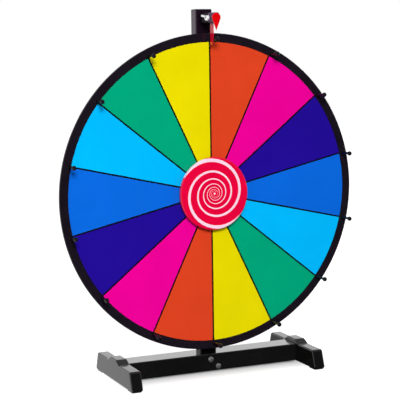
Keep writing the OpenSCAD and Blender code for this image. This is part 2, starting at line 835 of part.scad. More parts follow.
// Arm from the post to the pointer, slotted from below for the leaf
module clicker_arm() {
    arm_len = post_y - arm_front_y;
    slot_w = leaf_t + 2 * slip_gap;
    slot_len = leaf_w + 2 * slip_gap;
    color(black_print) difference() {
        translate([leaf_x, post_y, clamp_z]) facing_front() linear_extrude(arm_len)
            rounded_rect(arm_w, arm_h, arm_edge_r);
        translate([leaf_x - slot_w / 2, leaf_y - slot_len / 2, arm_bottom - cut])
            cube([slot_w, slot_len, leaf_top_z + slip_gap - arm_bottom + cut]);
        translate([arm_left_x - cut, leaf_y, clamp_z]) rotate([0, 90, 0])
            cylinder(d = clamp_d + 2 * slip_gap, h = arm_w + 2 * cut);
        translate([leaf_x, arm_front_y + pointer_stud_len, clamp_z]) facing_front()
            cylinder(d = pointer_stud_d + 2 * fit_gap, h = pointer_stud_len + cut);
        at_arm_screws(post_y + cut)
            cylinder(d = arm_screw_d + 2 * fit_gap, h = arm_screw_bite + cut);
    }
}

module arm_screws() {
    color(steel) at_arm_screws(post_y + post_depth) mirror([0, 0, 1])
        dome_screw(arm_screw_d, post_depth + arm_screw_bite - cut, arm_head_d, arm_head_t);
}

// Clamped end of the red leaf, inside the arm
module leaf_tab() {
    bottom = leaf_pivot_z + leaf_t / 2 + slip_gap;
    color(signal_red) translate([leaf_x - leaf_t / 2, leaf_y, 0]) along_x(leaf_t) difference() {
        translate([-leaf_w / 2, bottom]) square([leaf_w, leaf_top_z - bottom]);
        translate([0, clamp_z]) circle(d = clamp_d + 2 * slip_gap);
    }
}

// Springy end of the leaf. Its round top turns about the leaf's bending line
module clicker_leaf() {
    tip_r = leaf_tip_w / 2;
    color(signal_red) translate([leaf_x, leaf_y, 0]) {
        translate([-leaf_t / 2, 0, 0]) along_x(leaf_t) {
            polygon([
                [-leaf_w / 2, leaf_pivot_z], [leaf_w / 2, leaf_pivot_z],
                [leaf_w / 2, leaf_tip_z + leaf_taper], [tip_r, leaf_tip_z + tip_r],
                [-tip_r, leaf_tip_z + tip_r], [-leaf_w / 2, leaf_tip_z + leaf_taper]
            ]);
            translate([0, leaf_tip_z + tip_r]) circle(tip_r);
        }
        translate([0, leaf_w / 2, leaf_pivot_z]) facing_front() cylinder(d = leaf_t, h = leaf_w);
    }
}

// Teardrop plate at the end of the arm, held by its stud
module pointer() {
    r = pointer_d / 2;
    touch = acos(r / pointer_drop);
    side = r * tuck;
    color(signal_red) translate([leaf_x, arm_front_y, clamp_z]) facing_front() {
        linear_extrude(pointer_t) {
            circle(r);
            polygon([[0, 0], [-side * sin(touch), -side * cos(touch)], [0, -pointer_drop],
                [side * sin(touch), -side * cos(touch)]]);
        }
        translate([0, 0, -pointer_stud_len])
            cylinder(d = pointer_stud_d, h = pointer_stud_len + pointer_t / 2);
    }
}

// Bolt through the arm and the leaf, from the right, with its thread on the left
module clamp_bolt() {
    color(bright_zinc) translate([arm_right_x + clamp_washer_t, leaf_y, clamp_z]) rotate([0, 90, 0])
        dome_screw(clamp_d, arm_right_x + clamp_washer_t - clamp_end_x, clamp_head_d, clamp_head_t);
}

module clamp_washers() {
    hole_d = clamp_d + 2 * fit_gap;
    color(bright_zinc) for (x = [arm_left_x - clamp_washer_t, arm_right_x])
        translate([x, leaf_y, clamp_z]) rotate([0, 90, 0])
            tube(clamp_washer_d, hole_d, clamp_washer_t);
}

// One wing, drawn outwards from the nut's axis: a web that widens into a round ear
module wing_outline() {
    ear_x = wing_span / 2 - wing_ear_r;
    ear_y = wing_h - wing_ear_r;
    root_x = wing_boss_d / 4;
    slope = atan2(ear_y, ear_x - root_x);
    side = wing_ear_r * tuck;
    polygon([
        [root_x, wing_lift], [wing_boss_d / 2, wing_lift],
        [ear_x + side * sin(slope), ear_y - side * cos(slope)],
        [ear_x - side * sin(slope), ear_y + side * cos(slope)],
        [root_x, wing_boss_h - wing_lift]
    ]);
    translate([ear_x, ear_y]) circle(wing_ear_r);
}

// Wing nut on the left of the arm, its wings flaring out to the left
module wing_nut() {
    color(bright_zinc) translate([wing_seat_x, leaf_y, clamp_z])
        rotate([wing_tilt, 0, 0]) rotate([0, -90, 0]) difference() {
            union() {
                cylinder(d1 = wing_boss_d, d2 = wing_boss_end_d, h = wing_boss_h);
                for (side = [0, 1]) rotate(90 + side * 180) translate([0, wing_t / 2, 0])
                    rotate([90, 0, 0]) linear_extrude(wing_t) wing_outline();
            }
            translate([0, 0, -cut]) cylinder(d = clamp_d + 2 * turn_gap, h = wing_h + 2 * cut);
        }
}

wheel_board();
edge_trim();
film_orange();
film_magenta();
film_navy();
film_blue();
film_cyan();
film_green();
film_yellow();
pegs();
peg_nuts();
hub_housing();
hub_screws();
hub_nuts();
hub_cover();
hub_spiral();
bearing_outer_rings();
bearing_inner_rings();
bearing_cages();
bearing_balls();
axle_bolt();
axle_washers();
axle_collars();
axle_sleeve();
axle_nut();
post();
post_cap();
crossbar();
left_foot();
right_foot();
dowels();
rubber_pads();
base_bolts();
base_washers();
base_nuts();
clicker_arm();
arm_screws();
leaf_tab();
clicker_leaf();
pointer();
clamp_bolt();
clamp_washers();
wing_nut();
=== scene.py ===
# %% [markdown]
# # A tabletop carnival game wheel
# The object is a game wheel: a round board of fourteen coloured sectors that spins in front of a
# black post. A red leaf hangs from an arm at the top and clicks past a peg at every seam.
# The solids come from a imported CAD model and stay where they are. This script gives them their
# finishes, and models again the few pieces whose real edges are softer than the solids show.

# %% Load the frame
import math

import bmesh
import bpy
from mathutils import Matrix, Vector


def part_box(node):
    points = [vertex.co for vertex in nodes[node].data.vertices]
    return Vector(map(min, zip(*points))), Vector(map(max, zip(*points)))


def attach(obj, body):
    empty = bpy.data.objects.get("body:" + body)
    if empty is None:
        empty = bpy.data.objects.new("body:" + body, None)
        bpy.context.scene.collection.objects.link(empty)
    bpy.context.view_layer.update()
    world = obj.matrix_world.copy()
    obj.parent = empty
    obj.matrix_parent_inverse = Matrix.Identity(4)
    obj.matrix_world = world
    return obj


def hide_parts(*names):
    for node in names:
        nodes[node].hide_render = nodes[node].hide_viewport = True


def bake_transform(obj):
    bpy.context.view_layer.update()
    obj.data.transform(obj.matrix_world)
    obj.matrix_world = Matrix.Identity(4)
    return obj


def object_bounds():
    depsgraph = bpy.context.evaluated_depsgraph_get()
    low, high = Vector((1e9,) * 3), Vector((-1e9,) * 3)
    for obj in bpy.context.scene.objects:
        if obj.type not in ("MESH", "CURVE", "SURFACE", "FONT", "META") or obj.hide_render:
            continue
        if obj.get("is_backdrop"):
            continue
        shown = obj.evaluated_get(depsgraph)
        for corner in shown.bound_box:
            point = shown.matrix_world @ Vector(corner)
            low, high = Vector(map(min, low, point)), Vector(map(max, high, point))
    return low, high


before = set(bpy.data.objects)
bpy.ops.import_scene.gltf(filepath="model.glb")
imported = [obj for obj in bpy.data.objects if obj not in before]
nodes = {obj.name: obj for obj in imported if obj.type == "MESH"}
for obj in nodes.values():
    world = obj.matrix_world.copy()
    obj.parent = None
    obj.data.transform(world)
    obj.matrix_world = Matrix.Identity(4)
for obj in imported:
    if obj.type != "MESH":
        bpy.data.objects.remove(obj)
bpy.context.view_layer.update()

scene = bpy.context.scene
MM = 0.001

# %% [markdown]
# ## Camera
# The photo looks at the wheel from the left and a little from above. A camera can be aimed by a
# Track To constraint, but here its place and three angles are known, so they are set as one matrix.
# Yaw turns it to the right, pitch tips it down, and a small roll levels the floor line.

# %% Camera
camera_place = (-0.9961, -2.2398, 0.631)
yaw, pitch, roll = (math.radians(a) for a in (23.625, -6.869, -0.825))

camera_data = bpy.data.cameras.new("photo_camera")
camera_data.sensor_width = 36
camera_data.lens = 114.8
camera = bpy.data.objects.new("photo_camera", camera_data)
scene.collection.objects.link(camera)
camera.matrix_world = (
    Matrix.Translation(camera_place)
    @ Matrix.Rotation(-yaw, 4, "Z")
    @ Matrix.Rotation(math.pi / 2 + pitch, 4, "X")
    @ Matrix.Rotation(roll, 4, "Z")
)
scene.camera = camera
scene.view_settings.view_transform = "Standard"
print("camera at", camera_place, "lens", camera_data.lens, "mm")

# %% [markdown]
# ## Studio
# The photo has a white sweep behind the wheel, soft light from the upper left, and a dark room behind
# the camera and overhead. Here these are a few flat sheets, the world and one lamp, and none of them is
# part of the object. The Light Path node tells which rays come from the camera or from a mirror, so the
# studio can look white to these without more light on the object.

# %% Node helpers
def step(tree, operation, *values):
    """One Math node. A value is a number or the socket of another node."""
    math_node = tree.nodes.new("ShaderNodeMath")
    math_node.operation = operation
    for socket, value in zip(math_node.inputs, values):
        if isinstance(value, (int, float)):
            socket.default_value = value
        else:
            tree.links.new(value, socket)
    return math_node.outputs[0]


def split_axes(tree, place):
    """The X, Y and Z of a place, as sockets."""
    axes = tree.nodes.new("ShaderNodeSeparateXYZ")
    tree.links.new(place, axes.inputs[0])
    return axes.outputs["X"], axes.outputs["Y"], axes.outputs["Z"]


def spread(tree, amount, low, high, start=0.3, end=0.7):
    """Maps an amount from start to end over low to high. Without these, the middle of a noise."""
    mapped = tree.nodes.new("ShaderNodeMapRange")
    for socket, value in zip(("From Min", "From Max", "To Min", "To Max"), (start, end, low, high)):
        mapped.inputs[socket].default_value = value
    tree.links.new(amount, mapped.inputs["Value"])
    return mapped.outputs["Result"]


def seen_directly(tree):
    """1 for rays from the camera, from a gloss or through glass, and 0 for rays of diffuse light."""
    path = tree.nodes.new("ShaderNodeLightPath")
    seen = path.outputs["Is Camera Ray"]
    for kind in ("Is Glossy Ray", "Is Transmission Ray"):
        seen = step(tree, "MAXIMUM", seen, path.outputs[kind])
    return seen


# %% [markdown]
# ## Flat sheets
# Floor and room are flat sheets.

# %% Sheet helpers
def bare_material(name):
    """A material without its usual shader, its node tree, and the socket that waits for a shader."""
    material = bpy.data.materials.new(name)
    material.use_nodes = True
    tree = material.node_tree
    tree.nodes.remove(tree.nodes["Principled BSDF"])
    return material, tree, tree.nodes["Material Output"].inputs["Surface"]


def stage_sheet(name, material, low, high, turn=None):
    """A flat sheet from low to high in X and Y, turned into place. It isn't part of the object."""
    bm = bmesh.new()
    bmesh.ops.create_grid(bm, x_segments=1, y_segments=1, size=0.5)
    size, middle = Vector(high) - Vector(low), (Vector(low) + Vector(high)) / 2
    bmesh.ops.scale(bm, vec=(size.x, size.y, 1), verts=bm.verts)
    bmesh.ops.translate(bm, vec=(middle.x, middle.y, 0), verts=bm.verts)
    if turn is not None:
        bmesh.ops.transform(bm, matrix=turn, verts=bm.verts)
    mesh = bpy.data.meshes.new(name)
    bm.to_mesh(mesh)
    bm.free()
    sheet = bpy.data.objects.new(name, mesh)
    mesh.materials.append(material)
    scene.collection.objects.link(sheet)
    sheet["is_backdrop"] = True
    return sheet


def only_in_mirrors(sheet):
    """Hides a sheet from all but glossy rays, so it shows in reflections and changes no light."""
    sheet.visible_camera = False
    sheet.visible_diffuse = False
    sheet.visible_transmission = False
    sheet.visible_shadow = False


# %% [markdown]
# ## Floor
# The floor is a pale diffuse sheet, so it keeps the soft shadows. A glow lifts it to white for rays that
# see it directly. Close to the base the glow drops away, and with the greyer paint there this is a
# painted shadow round the base's foot. A gradient texture could do that too, but a distance made of Math
# nodes can follow the front and the sides of the base. Mirrors don't see the front of the floor: the
# room's tables take its place there.

# %% Floor
floor_side, floor_far_edge, floor_front_edge = 7, 9, -0.6
table_left, table_back = -0.2, 0.03
# how far the painted shadow round the base reaches
base_half, base_front = 0.17, -0.005
shade_reach, side_squeeze = 0.075, 3


def painted_shade_ramp(tree):
    """How far a point of the floor is from the base, 0 at its foot and 1 at the end of its painted
    shadow.
    """
    where = tree.nodes.new("ShaderNodeTexCoord")
    x, y, _ = split_axes(tree, where.outputs["Object"])
    aside = step(tree, "SUBTRACT", step(tree, "ABSOLUTE", x), base_half)
    aside = step(tree, "MULTIPLY", step(tree, "MAXIMUM", aside, 0), side_squeeze)
    ahead = step(tree, "SUBTRACT", step(tree, "MULTIPLY", y, -1), base_front)
    ahead = step(tree, "MAXIMUM", ahead, 0)
    squares = step(tree, "ADD", step(tree, "POWER", aside, 2), step(tree, "POWER", ahead, 2))
    return step(tree, "MINIMUM", step(tree, "DIVIDE", step(tree, "SQRT", squares), shade_reach), 1)


def floor_paint(name, whiteness, floor_lift, paints_shade):
    """White paint that keeps shadows, and glows a little for rays that see it directly. It can paint a
    shadow near the base, where its glow drops away.
    """
    material, tree, waiting = bare_material(name)
    diffuse = tree.nodes.new("ShaderNodeBsdfDiffuse")
    diffuse.inputs["Color"].default_value = (whiteness, whiteness, whiteness, 1)
    glow = tree.nodes.new("ShaderNodeEmission")
    lift = step(tree, "MULTIPLY", seen_directly(tree), floor_lift)
    # painted shadow: close to the base the glow drops with the distance from it
    if paints_shade:
        lift = step(tree, "MULTIPLY", lift, painted_shade_ramp(tree))
    tree.links.new(lift, glow.inputs["Strength"])
    both = tree.nodes.new("ShaderNodeAddShader")
    tree.links.new(diffuse.outputs[0], both.inputs[0])
    tree.links.new(glow.outputs[0], both.inputs[1])
    tree.links.new(both.outputs[0], waiting)
    return material


back_paint = floor_paint("back_paint", whiteness=0.9, floor_lift=0.8, paints_shade=False)
# this greyer table paint carries the painted shadow round the base
table_paint = floor_paint("table_paint", whiteness=0.5, floor_lift=0.75, paints_shade=True)
stage_sheet("floor_back", back_paint, (-floor_side, table_back), (floor_side, floor_far_edge))
floor_left = stage_sheet(
    "floor_left", table_paint, (-floor_side, floor_front_edge), (table_left, table_back)
)
floor_front = stage_sheet(
    "floor_front", table_paint, (table_left, floor_front_edge), (floor_side, table_back)
)
for sheet in (floor_left, floor_front):
    sheet.visible_glossy = False

# %% [markdown]
# ## Dark room
# Glossy black looks black only where it mirrors something dark, and its soft edges show as lines only
# because they mirror another part of the room. These sheets stand for that room: a dark wall behind the
# camera, a dim ceiling that is paler at the back, a dark table with a grey left side, and two shadows
# behind the base. An environment picture could do the same, but sheets keep every tone in the script.
# Only glossy rays see them, so they change no light.

# %% Dark room
room_tones = {"dark": 0.012, "dim": 0.35, "pale": 0.68, "grey": 0.7, "shadow": 0.02}
room_left, room_right, room_front = -7, 8, -4
wall_left, wall_foot, wall_top = -3.4, -4, 3.2
ceiling_height, dim_back, pale_back = 2.0, 3.5, 5.5
shadow_back = 0.5
bar_shadow_left, bar_shadow_right = 0.02, 0.19
wheel_shadow_left, wheel_shadow_right = -0.16, 0


def room_paint(name, tone):
    """Paint of an even tone that needs no light."""
    material, tree, waiting = bare_material(name)
    even = tree.nodes.new("ShaderNodeEmission")
    even.inputs["Color"].default_value = (tone, tone, tone, 1)
    tree.links.new(even.outputs[0], waiting)
    return material


on_wall = Matrix.Translation((0, room_front, 0)) @ Matrix.Rotation(math.radians(90), 4, "X")
overhead = Matrix.Translation((0, 0, ceiling_height))
just_under = Matrix.Translation((0, 0, -2 * MM))
just_over = Matrix.Translation((0, 0, 1 * MM))
room_sheets = {
    "dark_room": ("dark", (wall_left, wall_foot), (room_right, wall_top), on_wall),
    "dim_ceiling": ("dim", (room_left, room_front), (room_right, dim_back), overhead),
    "pale_ceiling": ("pale", (room_left, dim_back), (room_right, pale_back), overhead),
    "dark_table": ("dark", (table_left, room_front), (floor_side, table_back), just_under),
    "grey_table": ("grey", (room_left, room_front), (table_left, shadow_back), just_over),
    "bar_shadow": ("dim", (bar_shadow_left, table_back), (bar_shadow_right, shadow_back), just_over),
    "wheel_shadow": (
        "shadow", (wheel_shadow_left, table_back), (wheel_shadow_right, shadow_back), just_over,
    ),
}
paints = {tone: room_paint(tone + "_paint", level) for tone, level in room_tones.items()}
for name, (tone, low, high, turn) in room_sheets.items():
    only_in_mirrors(stage_sheet(name, paints[tone], low, high, turn))
print("room sheets:", list(room_sheets))

# %% [markdown]
# ## World
# The world gives soft light from all round, more from overhead than from the horizon: a Map Range turns
# the height of a ray's direction into brightness. The camera and mirrors see plain white instead, as the
# white sweep of the photo.

# %% World
horizon_light, overhead_light = 0.14, 0.5

world = bpy.data.worlds.new("studio")
scene.world = world
world.use_nodes = True
tree = world.node_tree
ambient = tree.nodes["Background"]
ambient.inputs["Color"].default_value = (1, 1, 1, 1)
direction = tree.nodes.new("ShaderNodeTexCoord")
height = split_axes(tree, direction.outputs["Generated"])[2]
brightness = spread(tree, height, horizon_light, overhead_light, start=0, end=1)
tree.links.new(brightness, ambient.inputs["Strength"])
white = tree.nodes.new("ShaderNodeBackground")
white.inputs["Color"].default_value = (1, 1, 1, 1)
white.inputs["Strength"].default_value = 1.0
choose = tree.nodes.new("ShaderNodeMixShader")
tree.links.new(seen_directly(tree), choose.inputs["Fac"])
tree.links.new(ambient.outputs[0], choose.inputs[1])
tree.links.new(white.outputs[0], choose.inputs[2])
tree.links.new(choose.outputs[0], tree.nodes["World Output"].inputs["Surface"])
print("light from the horizon:", horizon_light, "and overhead:", overhead_light)

# %% [markdown]
# ## Lamp
# One large softbox stands in front of the wheel, to the left and above it, and gives every peg a soft
# shadow on the films. A smaller lamp would draw hard shadows, which the photo doesn't have. It is hidden
# from mirrors, because its reflection would run as a bright line down the corner of the glossy post.

# %% Lamp
wheel_middle = Vector((0, -0.0185, 0.351))
lamp_offset = Vector((-1.15, -3.0, 1.5))
lamp_size, lamp_power = 0.9, 115


def softbox(name, place, target, size, power):
    """A square area lamp that faces a point."""
    lamp = bpy.data.lights.new(name, "AREA")
    lamp.size = size
    lamp.energy = power
    holder = bpy.data.objects.new(name, lamp)
    scene.collection.objects.link(holder)
    aim = Vector(target) - Vector(place)
    holder.matrix_world = Matrix.Translation(place) @ aim.to_track_quat("-Z", "Y").to_matrix().to_4x4()
    return holder


key_light = softbox("key_light", wheel_middle + lamp_offset, wheel_middle, lamp_size, lamp_power)
key_light.visible_glossy = False
print("key light:", lamp_size, "m wide,", round(lamp_offset.length, 2), "m from the wheel")

# %% [markdown]
# ## Finishes
# A real surface is never one flat colour. Each finish here drifts a little between two shades, its
# gloss drifts between two roughnesses, and a fine relief breaks its reflections.
# All of it comes from noise on Object coordinates, so it rides with a piece when that piece turns.

# %% Colour helpers
def srgb(red, green, blue):
    """A colour in the 0 to 255 steps of a paint program, as the linear values that shaders use."""
    steps = [c / 255 for c in (red, green, blue)]
    return tuple(c / 12.92 if c <= 0.04045 else ((c + 0.055) / 1.055) ** 2.4 for c in steps) + (1,)


def shade(colour, factor):
    """The same hue, lighter or darker."""
    return tuple(min(1.0, c * factor) for c in colour[:3]) + (1,)


def mix_colours(tree, amount, first, second):
    """first where amount is 0 and second where it is 1. Each is a colour or another socket."""
    mixed = tree.nodes.new("ShaderNodeMix")
    mixed.data_type = "RGBA"
    tree.links.new(amount, mixed.inputs["Factor"])
    for socket, colour in (("A_Color", first), ("B_Color", second)):
        target = next(i for i in mixed.inputs if i.identifier == socket)
        if isinstance(colour, tuple):
            target.default_value = colour
        else:
            tree.links.new(colour, target)
    return next(o for o in mixed.outputs if o.identifier == "Result_Color")


# %% [markdown]
# ## Textures
# Noise Texture nodes make the blotches and the grain. Their Scale is one over the size of a blotch, so
# the helper takes that size in metres. Counted from the axle, a point has a radius and an angle, and
# these two find the seams between the sectors and the arms of the spiral.

# %% Texture helpers
def places(tree, stretch=(1, 1, 1), middle=(0, 0, 0)):
    """Object coordinates, counted from a middle point and stretched along the axes."""
    coordinates = tree.nodes.new("ShaderNodeTexCoord")
    mapping = tree.nodes.new("ShaderNodeMapping")
    mapping.inputs["Location"].default_value = [-m * s for m, s in zip(middle, stretch)]
    mapping.inputs["Scale"].default_value = stretch
    tree.links.new(coordinates.outputs["Object"], mapping.inputs["Vector"])
    return mapping.outputs["Vector"]


def noise(tree, where, size, detail):
    """Cloudy noise whose blotches are about size metres across."""
    texture = tree.nodes.new("ShaderNodeTexNoise")
    texture.inputs["Scale"].default_value = 1 / size
    texture.inputs["Detail"].default_value = detail
    tree.links.new(where, texture.inputs["Vector"])
    return texture.outputs["Fac"]


def relief(tree, shader, height, depth):
    """Bumps the surface by a height field, depth metres deep."""
    bump = tree.nodes.new("ShaderNodeBump")
    bump.inputs["Strength"].default_value = 1
    bump.inputs["Distance"].default_value = depth
    tree.links.new(height, bump.inputs["Height"])
    tree.links.new(bump.outputs["Normal"], shader.inputs["Normal"])


def round_the_axle(tree):
    """A point's place, radius and angle about the wheel's axle, anticlockwise from the top."""
    where = places(tree, middle=wheel_middle)
    x, _, z = split_axes(tree, where)
    squares = step(tree, "ADD", step(tree, "POWER", x, 2), step(tree, "POWER", z, 2))
    angle = step(tree, "ARCTAN2", step(tree, "MULTIPLY", x, -1), z)
    return where, step(tree, "SQRT", squares), angle


# %% [markdown]
# ## One recipe for most finishes
# Most finishes differ only in numbers, so one function makes them: two shades, a range of roughness, the
# size of the blotches, and the size and depth of the grain. A number that is the same all over, such as
# a coat's weight, is set on the Principled shader's own socket.

# %% Finish helpers
finishes = {}


def new_finish(name, **settings):
    """A Principled material, kept in finishes. A setting is a socket's name in lower case."""
    material = bpy.data.materials.new(name)
    material.use_nodes = True
    shader = material.node_tree.nodes["Principled BSDF"]
    sockets = {socket.name.lower().replace(" ", "_"): socket for socket in shader.inputs}
    for setting, value in settings.items():
        sockets[setting].default_value = value
    finishes[name] = material
    return material.node_tree, shader


def surface(name, dark, light, rough, blotch, grain, depth, stretch=(1, 1, 1), **settings):
    """A finish that drifts between two colours and two roughnesses, with a fine relief."""
    tree, shader = new_finish(name, **settings)
    where = places(tree, stretch)
    cloud = spread(tree, noise(tree, where, blotch, detail=3), 0, 1)
    tree.links.new(mix_colours(tree, cloud, dark, light), shader.inputs["Base Color"])
    gloss = spread(tree, noise(tree, where, blotch / 3, detail=4), *rough)
    tree.links.new(gloss, shader.inputs["Roughness"])
    relief(tree, shader, noise(tree, where, grain, detail=3), depth)


# %% [markdown]
# ## Coloured films
# Seven colours run twice round the wheel. The real films are printed sheets with a smooth dry-wipe
# coat, so pegs and hub mirror faintly in them. Each film keeps its CAD solid and gets a print colour
# that drifts by a few percent. A narrow black border is printed along its two straight sides, which
# makes the line at the seam look wider than the gap. The border is found from the angle about the
# axle: Ping-Pong gives the distance to the nearest seam in sectors, and the radius turns it to metres.

# %% Coloured films
print_colours = {
    "film_orange": srgb(219, 66, 32),
    "film_magenta": srgb(236, 0, 150),
    "film_navy": srgb(34, 12, 148),
    "film_blue": srgb(9, 103, 219),
    "film_cyan": srgb(0, 184, 252),
    "film_green": srgb(0, 164, 121),
    "film_yellow": srgb(231, 217, 0),
}
sector_count = 14
sector_angle = math.tau / sector_count
seam_half = 1.6 * MM
seam_black = srgb(14, 8, 12)
print_blotch, print_drift = 90 * MM, 0.04
film_gloss = (0.06, 0.14)
film_wave, wave_depth = 30 * MM, 0.02 * MM


def film_finish(film, colour):
    """A printed film with a black border along its seams."""
    tree, shader = new_finish(film, specular_ior_level=0.4)
    where, radius, angle = round_the_axle(tree)
    cloud = spread(tree, noise(tree, where, print_blotch, detail=3), 0, 1)
    printed = mix_colours(tree, cloud, shade(colour, 1 - print_drift), shade(colour, 1 + print_drift))
    sectors = step(tree, "PINGPONG", step(tree, "DIVIDE", angle, sector_angle), 0.5)
    from_seam = step(tree, "MULTIPLY", radius, step(tree, "MULTIPLY", sectors, sector_angle))
    border = step(tree, "LESS_THAN", from_seam, seam_half)
    tree.links.new(mix_colours(tree, border, printed, seam_black), shader.inputs["Base Color"])
    gloss = spread(tree, noise(tree, where, film_wave, detail=4), *film_gloss)
    tree.links.new(gloss, shader.inputs["Roughness"])
    relief(tree, shader, noise(tree, where, film_wave, detail=3), wave_depth)


for film, colour in print_colours.items():
    film_finish(film, colour)
print("films:", len(finishes), "seam lines in mm:", round(2 * seam_half / MM, 1))

# %% [markdown]
# ## Black pieces
# There are several blacks on this object. The rim, board and pegs are a smooth plastic black with a
# trace of purple, the post is a finely textured powder coat with purple in its reflections, and the
# base is a gloss paint: deeper on the bar, and thinner on the feet. The gloss paint gets a clear coat,
# because its top faces mirror the white sweep at a low angle.

# %% Black pieces
surface(
    "trim_black", srgb(22, 16, 25), srgb(28, 22, 31), rough=(0.1, 0.18), blotch=0.03,
    grain=0.004, depth=0.00001, specular_ior_level=0.35,
)
surface(
    "board_black", srgb(9, 6, 10), srgb(16, 12, 17), rough=(0.3, 0.45), blotch=0.04,
    grain=0.0008, depth=0.00002, specular_ior_level=0.2,
)
surface(
    "peg_black", srgb(14, 10, 16), srgb(22, 18, 24), rough=(0.12, 0.24), blotch=0.004,
    grain=0.0006, depth=0.000005, specular_ior_level=0.3,
)
surface(
    "post_black", srgb(20, 8, 21), srgb(26, 13, 26), rough=(0.18, 0.26), blotch=0.05,
    grain=0.0009, depth=0.00001, specular_ior_level=0.55,
    specular_tint=(1.0, 0.7, 1.0, 1.0),
)
surface(
    "bar_black", srgb(14, 14, 14), srgb(19, 19, 19), rough=(0.1, 0.18), blotch=0.06,
    grain=0.006, depth=0.00001, coat_weight=1.0, coat_roughness=0.05,
)
surface(
    "foot_black", srgb(14, 14, 14), srgb(20, 20, 20), rough=(0.1, 0.18), blotch=0.05,
    grain=0.005, depth=0.00001, coat_weight=0.45, coat_roughness=0.05,
)
print("blacks:", [f for f in finishes if f.endswith("black")])

# %% [markdown]
# ## Clicker arm
# The arm is nearly the same black as the post at its root. Towards its front it turns a paler
# purple-grey, a painted sheen for the light that its front catches. A Map Range on the Y coordinate
# blends the two, and a little noise frays the border so that it doesn't look ruled.

# %% Clicker arm
# painted sheen: the paler purple-grey that the arm's front shows
arm_dark, arm_sheen = srgb(19, 11, 21), srgb(96, 76, 104)
sheen_start, sheen_end = -30 * MM, -36 * MM
fray_size, fray_reach = 4 * MM, 2 * MM
arm_blotch, arm_gloss = 6 * MM, (0.3, 0.45)
arm_grain, arm_grain_depth = 0.8 * MM, 0.01 * MM

tree, shader = new_finish("arm_black", specular_ior_level=0.04)
where = places(tree)
along_arm = split_axes(tree, where)[1]
fray = spread(tree, noise(tree, where, fray_size, detail=4), -fray_reach, fray_reach)
# painted sheen towards the front of the arm
painted_sheen = spread(tree, step(tree, "ADD", along_arm, fray), 0, 1, sheen_start, sheen_end)
tree.links.new(mix_colours(tree, painted_sheen, arm_dark, arm_sheen), shader.inputs["Base Color"])
gloss = spread(tree, noise(tree, where, arm_blotch, detail=4), *arm_gloss)
tree.links.new(gloss, shader.inputs["Roughness"])
relief(tree, shader, noise(tree, where, arm_grain, detail=3), arm_grain_depth)
print("arm rubbed forward of", round(sheen_end / MM), "mm")

# %% [markdown]
# ## Hub cover
# A two-armed white spiral winds over the red cover and round its edge. The face carries the white
# arms as thin solids. The edge is painted here with the same curve: a logarithmic spiral, whose
# angle grows with the logarithm of the radius. Where a point's angle is near the curve's, it is white.

# %% Hub cover
cover_red = srgb(233, 0, 60)
spiral_white = srgb(255, 218, 237)
spiral_radius = 42.7 * MM
spiral_growth = 2.25
spiral_arms = 2
white_share = 0.25
face_radius = 67.9 * MM
cover_blotch, cover_drift = 30 * MM, 0.05
cover_smears, cover_gloss = 10 * MM, (0.1, 0.2)

tree, shader = new_finish("cover_red", coat_weight=0.4, coat_roughness=0.05)
where, radius, angle = round_the_axle(tree)
turns = step(tree, "LOGARITHM", step(tree, "DIVIDE", radius, spiral_radius), spiral_growth)
phase = step(tree, "SUBTRACT", step(tree, "DIVIDE", angle, math.tau), turns)
off_arm = step(tree, "PINGPONG", step(tree, "MULTIPLY", phase, spiral_arms), 0.5)
on_arm = step(tree, "LESS_THAN", off_arm, white_share / 2)
painted = step(tree, "MULTIPLY", on_arm, step(tree, "GREATER_THAN", radius, face_radius))
cloud = spread(tree, noise(tree, where, cover_blotch, detail=3), 0, 1)
red = mix_colours(tree, cloud, shade(cover_red, 1 - cover_drift), shade(cover_red, 1 + cover_drift))
tree.links.new(mix_colours(tree, painted, red, spiral_white), shader.inputs["Base Color"])
gloss = spread(tree, noise(tree, where, cover_smears, detail=4), *cover_gloss)
tree.links.new(gloss, shader.inputs["Roughness"])
surface(
    "spiral_white", shade(spiral_white, 0.97), spiral_white, rough=(0.1, 0.2), blotch=0.02,
    grain=0.002, depth=0.00001, coat_weight=0.4, coat_roughness=0.05,
)
print("spiral arms:", spiral_arms, "white share at the edge:", white_share)

# %% [markdown]
# ## Metals, rubber, wood and red plastic
# Zinc plate is a pale metal with soft cloudy gloss, bearing steel is brighter and smoother, and the
# hub is a cast alloy with a grainy skin. The base bolts and the wing nut are only partly metallic, so
# they keep a grey of their own where they mirror the dark room. Stretching the noise along one axis
# gives wood its grain.

# %% Small finishes
surface(
    "zinc_steel", srgb(196, 199, 204), srgb(226, 228, 231), rough=(0.22, 0.38), blotch=0.003,
    grain=0.0006, depth=0.00001, metallic=1.0,
)
surface(
    "bolt_steel", srgb(140, 141, 143), srgb(166, 167, 169), rough=(0.15, 0.25), blotch=0.002,
    grain=0.0006, depth=0.00001, metallic=0.75,
)
surface(
    "nut_bright", srgb(240, 241, 243), srgb(252, 252, 253), rough=(0.3, 0.45), blotch=0.003,
    grain=0.0006, depth=0.00001, metallic=0.2,
)
surface(
    "bearing_steel", srgb(205, 207, 211), srgb(232, 233, 236), rough=(0.1, 0.2), blotch=0.004,
    grain=0.0004, depth=0.000005, metallic=1.0,
)
surface(
    "cage_brass", srgb(190, 150, 74), srgb(219, 181, 98), rough=(0.25, 0.4), blotch=0.002,
    grain=0.0004, depth=0.00001, metallic=1.0,
)
surface(
    "hub_alloy", srgb(150, 152, 156), srgb(182, 184, 187), rough=(0.4, 0.6), blotch=0.008,
    grain=0.0008, depth=0.00006, metallic=1.0,
)
surface(
    "pad_rubber", srgb(26, 26, 26), srgb(40, 40, 40), rough=(0.7, 0.9), blotch=0.004,
    grain=0.0005, depth=0.00008,
)
surface(
    "dowel_wood", srgb(196, 152, 104), srgb(224, 188, 141), rough=(0.5, 0.7), blotch=0.0015,
    grain=0.0006, depth=0.00005, stretch=(0.08, 1, 1),
)
